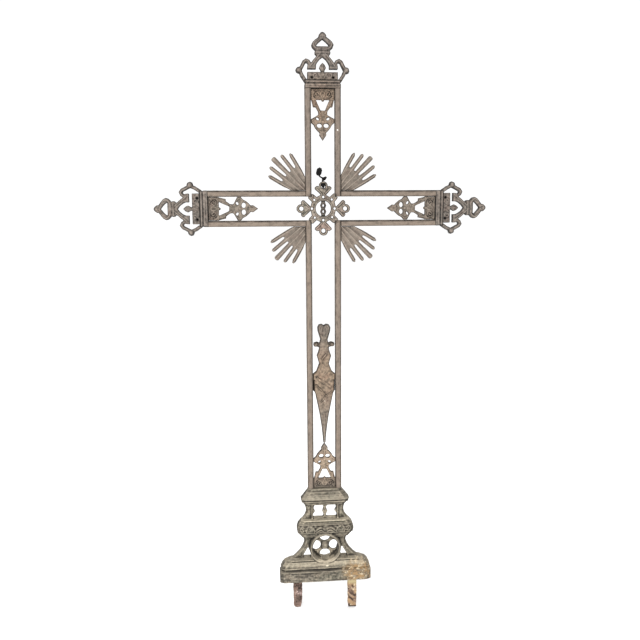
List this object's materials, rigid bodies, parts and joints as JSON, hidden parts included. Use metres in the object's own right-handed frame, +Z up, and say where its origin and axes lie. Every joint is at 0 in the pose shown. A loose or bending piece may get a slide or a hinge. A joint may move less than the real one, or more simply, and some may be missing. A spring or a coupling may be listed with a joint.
{
  "type": "wrought iron grave cross",
  "caption": "Openwork iron grave cross on a moulded pierced base, with looped finials, ray fans and a rosette at the open crossing, set in the ground by two tangs.",
  "frame": {"origin": "middle of the plinth's underside, where the cross meets the ground stone", "axes": "+Z up along the shaft, +X along the right arm as seen from the front, front face towards -Y"},
  "size_m": [0.89, 0.0445, 1.6082],
  "materials": {
    "frame_iron": "weathered grey-brown, darker grime on the upper and right-hand bevels",
    "ray_iron": "weathered grey-brown, matt",
    "cast_ornament": "weathered greenish grey with dark recesses and rust tints",
    "base_iron": "weathered greenish grey with dark grooves, ochre and lime stain at the right foot",
    "rusted_tang": "reddish brown rust with a pale streak",
    "limed_tang": "rust with pale lime mortar patches",
    "black_wire": "dull black"
  },
  "bodies": {
    "root": {"stile_upper_left": "frame_iron", "stile_upper_right": "frame_iron", "stile_lower_left": "frame_iron", "stile_lower_right": "frame_iron", "rail_left_top": "frame_iron", "rail_left_bottom": "frame_iron", "rail_right_top": "frame_iron", "rail_right_bottom": "frame_iron", "ray_fan_upper_left": "ray_iron", "ray_fan_upper_right": "ray_iron", "ray_fan_lower_left": "ray_iron", "ray_fan_lower_right": "ray_iron", "finial_top": "cast_ornament", "finial_left": "cast_ornament", "finial_right": "cast_ornament", "ornament_top": "cast_ornament", "ornament_left": "cast_ornament", "ornament_right": "cast_ornament", "ornament_foot": "cast_ornament", "shaft_torch": "cast_ornament", "rosette": "cast_ornament", "wire_hook": "black_wire", "base": "base_iron", "tang_left": "rusted_tang", "tang_right": "limed_tang"}
  },
  "joints": []
}
